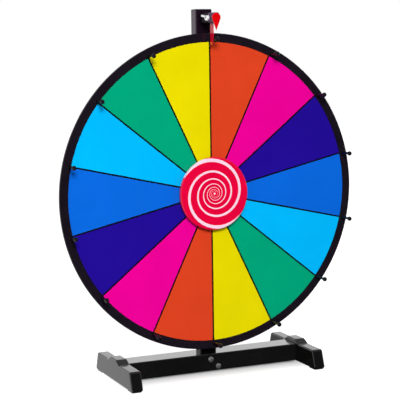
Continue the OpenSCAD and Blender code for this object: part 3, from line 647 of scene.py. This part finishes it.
surface(
    "leaf_red", srgb(212, 8, 40), srgb(230, 14, 54), rough=(0.12, 0.22), blotch=0.006,
    grain=0.0006, depth=0.00001, specular_ior_level=0.35,
)
surface(
    "pointer_red", srgb(210, 0, 6), srgb(226, 2, 12), rough=(0.12, 0.25), blotch=0.006,
    grain=0.0008, depth=0.00001,
)
print("finishes:", len(finishes))

# %% [markdown]
# ## Dress the nodes
# A CAD node shows the material in its mesh's first slot, so each node gets its one finish there. The
# table reads like a parts list: a finish, then the nodes that wear it. The solids aren't touched.

# %% Dress the nodes
dressed = {
    "trim_black": ["edge_trim"],
    "board_black": ["wheel_board"],
    "peg_black": ["pegs"],
    "post_black": ["post", "post_cap"],
    "arm_black": ["clicker_arm"],
    "bar_black": ["crossbar"],
    "foot_black": ["left_foot", "right_foot"],
    "cover_red": ["hub_cover"],
    "spiral_white": ["hub_spiral"],
    "zinc_steel": [
        "peg_nuts", "hub_screws", "hub_nuts", "axle_bolt", "axle_washers", "axle_nut", "base_washers",
        "base_nuts", "arm_screws", "clamp_bolt", "clamp_washers",
    ],
    "bolt_steel": ["base_bolts"],
    "nut_bright": ["wing_nut"],
    "bearing_steel": [
        "bearing_outer_rings", "bearing_inner_rings", "bearing_balls", "axle_collars", "axle_sleeve",
    ],
    "cage_brass": ["bearing_cages"],
    "hub_alloy": ["hub_housing"],
    "pad_rubber": ["rubber_pads"],
    "dowel_wood": ["dowels"],
    "leaf_red": ["leaf_tab", "clicker_leaf"],
    "pointer_red": ["pointer"],
}
dressed.update({film: [film] for film in print_colours})
for finish, members in dressed.items():
    for member in members:
        nodes[member].data.materials.clear()
        nodes[member].data.materials.append(finishes[finish])
print("dressed nodes:", sum(len(members) for members in dressed.values()), "of", len(nodes))

# %% [markdown]
# ## Drawing new pieces
# Some pieces have softer edges than their solids. Most of these start as one vertex. Extruding a vertex
# draws a straight line, and spinning it about an axis draws an arc, as E and the Spin tool do in Edit
# Mode. So an outline has only the points that its shape needs.

# %% Outline helpers
merge_gap = 0.005 * MM
across, along, upright = (1, 0, 0), (0, 1, 0), (0, 0, 1)


def verts_of(geometry):
    """The vertices among an operator's results."""
    return [part for part in geometry if isinstance(part, bmesh.types.BMVert)]


def start_at(bm, place):
    """The first vertex of an outline."""
    return bmesh.ops.create_vert(bm, co=place)["vert"][0]


def draw_to(bm, start, *stops):
    """Extrudes a vertex in straight lines from place to place, and gives the last end."""
    for stop in stops:
        start = bmesh.ops.extrude_vert_indiv(bm, verts=[start])["verts"][0]
        bmesh.ops.translate(bm, vec=Vector(stop) - start.co, verts=[start])
    return start


def draw_arc(bm, start, centre, axis, angle, steps):
    """Spins a vertex about an axis through a centre, and gives the arc's end."""
    swept = bmesh.ops.spin(bm, geom=[start], cent=centre, axis=axis, angle=angle, steps=steps)
    return verts_of(swept["geom_last"])[0]


# %% [markdown]
# ## Solids
# A closed outline is filled with a face and pulled out to a solid, or half an outline is spun all the
# way round as on a lathe. A bevel then rounds the edges. A Bevel modifier could do that too, but here
# only some of the edges are chosen.

# %% Solid helpers
def fill_and_pull(bm, pull):
    """Closes an outline, fills it with one face and extrudes that to a solid."""
    bmesh.ops.remove_doubles(bm, verts=bm.verts, dist=merge_gap)
    filled = bmesh.ops.edgeloop_fill(bm, edges=bm.edges[:])["faces"]
    pulled = bmesh.ops.extrude_face_region(bm, geom=filled)["geom"]
    bmesh.ops.translate(bm, vec=pull, verts=verts_of(pulled))
    bmesh.ops.recalc_face_normals(bm, faces=bm.faces)


def lathe(bm, centre, axis, steps):
    """Spins an outline all the way round an axis and closes its seam and poles."""
    bmesh.ops.spin(
        bm, geom=bm.verts[:] + bm.edges[:], cent=centre, axis=axis, angle=math.tau, steps=steps,
        use_merge=True,
    )
    bmesh.ops.remove_doubles(bm, verts=bm.verts, dist=merge_gap)
    bmesh.ops.recalc_face_normals(bm, faces=bm.faces)


def corners(bm, least=30):
    """The edges at which two faces meet at more than this many degrees."""
    return [edge for edge in bm.edges if edge.calc_face_angle(0) > math.radians(least)]


def round_edges(bm, edges, radius, segments):
    """Bevels edges to a round profile."""
    bmesh.ops.bevel(
        bm, geom=edges, offset=radius, offset_type="OFFSET", affect="EDGES", segments=segments,
        profile=0.5, material=-1, clamp_overlap=True,
    )


# %% [markdown]
# ## Finished pieces
# The shapes of a piece are joined into one mesh at the origin.

# %% Piece helper
sharp_from = math.radians(35)


def finished_piece(name, shapes, finish, replaced, body=None):
    """Joins bmesh shapes into one object that stands for CAD nodes and rides on their body."""
    whole = bmesh.new()
    for shape in shapes:
        part = bpy.data.meshes.new(name)
        shape.to_mesh(part)
        shape.free()
        whole.from_mesh(part)
        bpy.data.meshes.remove(part)
    mesh = bpy.data.meshes.new(name)
    whole.to_mesh(mesh)
    whole.free()
    mesh.shade_smooth()
    mesh.set_sharp_from_angle(angle=sharp_from)
    mesh.materials.append(finishes[finish])
    piece = bpy.data.objects.new(name, mesh)
    scene.collection.objects.link(piece)
    even = piece.modifiers.new("even_shading", "WEIGHTED_NORMAL")
    even.keep_sharp = True
    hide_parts(*replaced)
    if body is not None:
        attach(piece, body)
    print(name, "faces:", len(mesh.polygons))
    return piece


# %% [markdown]
# ## Feet
# Each foot is a thick board on edge with a gentle hump where the bar meets it, ends that lean in, and
# all its edges well rounded, lower corners most. One half of its outline is drawn and mirrored.
# Each side of the hump is a straight ramp between two arcs that bend opposite ways, so it runs into the
# flat top without a kink.

# %% Feet
foot_top = 37.5 * MM
foot_lean = 12 * MM
hump_flat = 15 * MM
hump_bend = 8 * MM
hump_slope = math.radians(25)
foot_round = 3 * MM
toe_round = 5.5 * MM


def rounded_foot(side):
    """The left or right foot as a bmesh, in its CAD node's box."""
    low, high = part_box(side + "_foot")
    bend_drop = hump_bend * (1 - math.cos(hump_slope))
    ramp_drop = high.z - foot_top - 2 * bend_drop
    ramp = Vector((0, ramp_drop / math.tan(hump_slope), -ramp_drop))
    bm = bmesh.new()
    end = start_at(bm, (low.x, 0, high.z))
    end = draw_to(bm, end, (low.x, hump_flat, high.z))
    end = draw_arc(bm, end, (low.x, hump_flat, high.z - hump_bend), across, -hump_slope, steps=5)
    end = draw_to(bm, end, end.co + ramp)
    ramp_foot = end.co.y + hump_bend * math.sin(hump_slope)
    end = draw_arc(bm, end, (low.x, ramp_foot, foot_top + hump_bend), across, hump_slope, steps=5)
    draw_to(
        bm, end, (low.x, high.y - foot_lean, foot_top), (low.x, high.y, low.z), (low.x, 0, low.z)
    )
    bmesh.ops.mirror(bm, geom=bm.verts[:] + bm.edges[:], axis="Y", merge_dist=merge_gap)
    fill_and_pull(bm, (high.x - low.x, 0, 0))
    toes = [e for e in bm.edges if all(abs(v.co.y) > high.y - merge_gap for v in e.verts)]
    round_edges(bm, toes, toe_round, segments=5)
    round_edges(bm, corners(bm), foot_round, segments=5)
    return bm


for side in ("left", "right"):
    finished_piece(
        side + "_foot_rounded", [rounded_foot(side)], "foot_black", [side + "_foot"], "stand"
    )

# %% [markdown]
# ## Crossbar
# The bar is a straight board with eased edges and a notch at its back for the post. Its ends are
# eased too, so a fine groove shows where it meets a foot. The notch keeps its sharp edges, because the
# post sits tight in it.

# %% Crossbar
notch_half = 17.2 * MM
notch_front = 6 * MM
bar_round = 1.8 * MM

low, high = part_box("crossbar")
bm = bmesh.new()
end = start_at(bm, (low.x, low.y, low.z))
draw_to(
    bm, end, (high.x, low.y, low.z), (high.x, high.y, low.z), (notch_half, high.y, low.z),
    (notch_half, notch_front, low.z), (-notch_half, notch_front, low.z), (-notch_half, high.y, low.z),
    (low.x, high.y, low.z), (low.x, low.y, low.z),
)
fill_and_pull(bm, (0, 0, high.z - low.z))


def in_notch(edge):
    """Whether an edge borders the notch."""
    return all(abs(v.co.x) < notch_half + merge_gap and v.co.y > 0 for v in edge.verts)


round_edges(bm, [edge for edge in corners(bm) if not in_notch(edge)], bar_round, segments=4)
finished_piece("crossbar_eased", [bm], "bar_black", ["crossbar"], "stand")

# %% [markdown]
# ## Post cap
# A moulded cap closes the tube. Its top edges are soft and its lower edge has a fine chamfer, which
# shows as a thin dark line above the tube. A cube becomes the cap with three bevels: upright corners,
# top edges, lower edges.

# %% Post cap
low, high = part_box("post")
cap_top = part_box("post_cap")[1].z
cap_corner = 3 * MM
cap_round = 2.2 * MM
cap_chamfer = 0.4 * MM

cap_size = Vector((high.x - low.x, high.y - low.y, cap_top - high.z))
cap_middle = Vector((0, (low.y + high.y) / 2, (cap_top + high.z) / 2))
bm = bmesh.new()
bmesh.ops.create_cube(bm, size=1)
bmesh.ops.scale(bm, vec=cap_size, verts=bm.verts)
bmesh.ops.translate(bm, vec=cap_middle, verts=bm.verts)


def level_edges(bm, height):
    """The edges that lie all in one level."""
    return [e for e in bm.edges if all(abs(v.co.z - height) < merge_gap for v in e.verts)]


uprights = [e for e in bm.edges if abs(e.verts[0].co.z - e.verts[1].co.z) > cap_size.z / 2]
round_edges(bm, uprights, cap_corner, segments=6)
round_edges(bm, level_edges(bm, cap_top), cap_round, segments=5)
round_edges(bm, level_edges(bm, high.z), cap_chamfer, segments=1)
finished_piece("post_cap_soft", [bm], "post_black", ["post_cap"], "stand")

# %% [markdown]
# ## Pegs
# A peg is turned on a lathe: a thread behind the wheel, a collar with an eased edge, a stem and a round
# head with a soft neck. Its half outline is spun all the way round its axis. Then the whole peg is spun
# about the wheel's axle with use_duplicate, which sets a copy at each of the fourteen seams.

# %% Pegs
peg_count = sector_count
peg_ring = 293 * MM
peg_axis = wheel_middle + Vector((0, 0, peg_ring))


def on_peg(out, forward):
    """A point of the top peg's outline, out from its axis and forward of the wheel's face, in mm."""
    return peg_axis + Vector((0, -forward, out)) * MM


thread_out, thread_end, thread_chamfer = 2, -9.3, 0.3
collar_out, collar_back, collar_front = 4, 0.5, 2.1
collar_round = 0.6
stem_out, stem_end = 2.3, 28.4
flare_out, flare_end = 2.35, 28.9
head_middle, head_radius = 33, 4.5
neck_out = 2.6
neck_back = math.sqrt(head_radius ** 2 - neck_out ** 2)
head_sweep = math.pi - math.atan2(neck_out, neck_back)

bm = bmesh.new()
end = start_at(bm, on_peg(0, thread_end))
end = draw_to(
    bm, end, on_peg(thread_out - thread_chamfer, thread_end),
    on_peg(thread_out, thread_end + thread_chamfer), on_peg(thread_out, collar_back),
    on_peg(collar_out, collar_back), on_peg(collar_out, collar_front - collar_round),
)
collar_edge = on_peg(collar_out - collar_round, collar_front - collar_round)
end = draw_arc(bm, end, collar_edge, across, math.pi / 2, steps=4)
end = draw_to(bm, end, on_peg(stem_out + collar_round, collar_front))
stem_root = on_peg(stem_out + collar_round, collar_front + collar_round)
end = draw_arc(bm, end, stem_root, across, -math.pi / 2, steps=4)
end = draw_to(
    bm, end, on_peg(stem_out, stem_end), on_peg(flare_out, flare_end),
    on_peg(neck_out, head_middle - neck_back),
)
draw_arc(bm, end, on_peg(0, head_middle), across, head_sweep, steps=14)
lathe(bm, peg_axis, along, steps=24)
bmesh.ops.spin(
    bm, geom=bm.verts[:] + bm.edges[:] + bm.faces[:], cent=wheel_middle, axis=along,
    angle=math.tau * (peg_count - 1) / peg_count, steps=peg_count - 1, use_duplicate=True,
)
finished_piece("pegs_turned", [bm], "peg_black", ["pegs"], "wheel")

# %% [markdown]
# ## Clicker leaf
# The leaf is a springy strip. Towards its tip the front edge slants back while the back edge stays
# straight, and both corners of the tip are round. It bends where it leaves the arm, so it needs cuts
# across its length there.

# %% Clicker leaf
low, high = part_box("clicker_leaf")
leaf_middle = (low.y + high.y) / 2
leaf_half = 7 * MM
tip_round = 2 * MM
taper_top = low.z + 18 * MM
leaf_top = 675 * MM
leaf_edge_round = 0.3 * MM
bend_start, bend_end = 674.2 * MM, 662 * MM
bend_cuts = 8


def on_leaf(back, height):
    """A point of the leaf's outline, back from its middle line and at a height."""
    return Vector((low.x, leaf_middle + back, height))


bm = bmesh.new()
end = start_at(bm, on_leaf(-leaf_half, leaf_top))
end = draw_to(bm, end, on_leaf(-leaf_half, taper_top), on_leaf(-tip_round, low.z + tip_round))
end = draw_arc(bm, end, on_leaf(0, low.z + tip_round), across, math.pi / 2, steps=4)
back_corner = leaf_half - tip_round
end = draw_to(bm, end, on_leaf(back_corner, low.z))
end = draw_arc(bm, end, on_leaf(back_corner, low.z + tip_round), across, math.pi / 2, steps=4)
draw_to(bm, end, on_leaf(leaf_half, leaf_top), on_leaf(-leaf_half, leaf_top))
fill_and_pull(bm, (high.x - low.x, 0, 0))
round_edges(bm, corners(bm), leaf_edge_round, segments=3)
for cut in range(bend_cuts + 1):
    level = bend_start + (bend_end - bend_start) * cut / bend_cuts
    bmesh.ops.bisect_plane(
        bm, geom=bm.verts[:] + bm.edges[:] + bm.faces[:], plane_co=(0, 0, level), plane_no=upright
    )
leaf = finished_piece("clicker_leaf_strip", [bm], "leaf_red", ["clicker_leaf"])
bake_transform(leaf)

# %% [markdown]
# ## Pointer
# The pointer is a small teardrop of red plastic on the end of the arm. Its outline is an arc with two
# straight lines that touch it and meet in the tip. The front rim is rounded, so it catches the light
# in another way than the flat face, and a stud behind the plate holds it in the arm.

# %% Pointer
low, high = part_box("pointer")
pointer_round = 0.9 * MM
stud_radius, stud_length = 2.5 * MM, 8 * MM
plate_thickness = 2 * MM

bulb_radius = (high.x - low.x) / 2
bulb = Vector(((low.x + high.x) / 2, low.y + plate_thickness, high.z - bulb_radius))
tip = Vector((bulb.x, bulb.y, low.z))
touch = math.acos(bulb_radius / (bulb.z - tip.z))
bm = bmesh.new()
end = start_at(bm, tip)
end = draw_to(bm, end, bulb + bulb_radius * Vector((math.sin(touch), 0, -math.cos(touch))))
towards_front = (0, -1, 0)
end = draw_arc(bm, end, bulb, towards_front, 2 * (math.pi - touch), steps=40)
draw_to(bm, end, tip)
fill_and_pull(bm, (0, -plate_thickness, 0))
plate_middle = bulb.y - plate_thickness / 2
front_rim = [e for e in corners(bm, least=40) if all(v.co.y < plate_middle for v in e.verts)]
round_edges(bm, front_rim, pointer_round, segments=4)
stud = bmesh.new()
stud_middle = bulb + Vector((0, stud_length / 2, 0))
stud_place = Matrix.Translation(stud_middle) @ Matrix.Rotation(math.pi / 2, 4, "X")
bmesh.ops.create_cone(
    stud, cap_ends=True, segments=24, radius1=stud_radius, radius2=stud_radius, depth=stud_length,
    matrix=stud_place,
)
finished_piece("pointer_rounded", [bm, stud], "pointer_red", ["pointer"], "stand")

# %% [markdown]
# ## Wing nut
# The wing nut is a small casting: a tapered boss with a bore, and two wings that flare into round
# ears. The boss is a lathe shape. One wing is drawn flat, pulled to its thickness, rounded all over
# and mirrored. The nut is drawn upright and then laid on its place in the arm by one matrix.

# %% Wing nut
seat = Vector((-10.38, -37.5, 684)) * MM
wing_slope = math.radians(23)
boss_wide, boss_narrow, boss_height, bore = 4.75 * MM, 3.9 * MM, 6 * MM, 2.55 * MM
ear = Vector((0, 9.2, 7.7)) * MM
ear_radius = 3.3 * MM
wing_thickness = 2.4 * MM
wing_root, wing_lift = 3 * MM, 0.5 * MM
boss_round, wing_round = 0.4 * MM, 0.7 * MM

boss = bmesh.new()
end = start_at(boss, (0, bore, 0))
draw_to(boss, end, (0, boss_wide, 0), (0, boss_narrow, boss_height), (0, bore, boss_height), (0, bore, 0))
lathe(boss, (0, 0, 0), upright, steps=36)
round_edges(boss, corners(boss, least=40), boss_round, segments=3)

half_wing = Vector((-wing_thickness / 2, 0, 0))
slope = math.atan2(ear.z, ear.y - wing_root)
ear_side = ear_radius * Vector((0, math.sin(slope), -math.cos(slope)))
wings = bmesh.new()
end = start_at(wings, half_wing + Vector((0, wing_root, wing_lift)))
end = draw_to(wings, end, half_wing + Vector((0, boss_wide, wing_lift)), half_wing + ear + ear_side)
end = draw_arc(wings, end, half_wing + ear, across, math.pi, steps=14)
draw_to(
    wings, end, half_wing + Vector((0, wing_root, boss_height - wing_lift)),
    half_wing + Vector((0, wing_root, wing_lift)),
)
fill_and_pull(wings, (wing_thickness, 0, 0))
round_edges(wings, corners(wings, least=40), wing_round, segments=3)
one_wing = wings.verts[:] + wings.edges[:] + wings.faces[:]
bmesh.ops.mirror(wings, geom=one_wing, axis="Y", merge_dist=0)
bmesh.ops.recalc_face_normals(wings, faces=wings.faces)

onto_arm = (
    Matrix.Translation(seat) @ Matrix.Rotation(wing_slope, 4, "X") @ Matrix.Rotation(-math.pi / 2, 4, "Y")
)
for shape in (boss, wings):
    bmesh.ops.transform(shape, matrix=onto_arm, verts=shape.verts)
finished_piece("wing_nut_cast", [boss, wings], "nut_bright", ["wing_nut"], "wing")

# %% [markdown]
# ## Check and finish
# The last cell measures the dressed object and prints its size.

# %% Finish
low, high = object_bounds()
print("visual size in mm:", [round(s / MM, 1) for s in high - low])
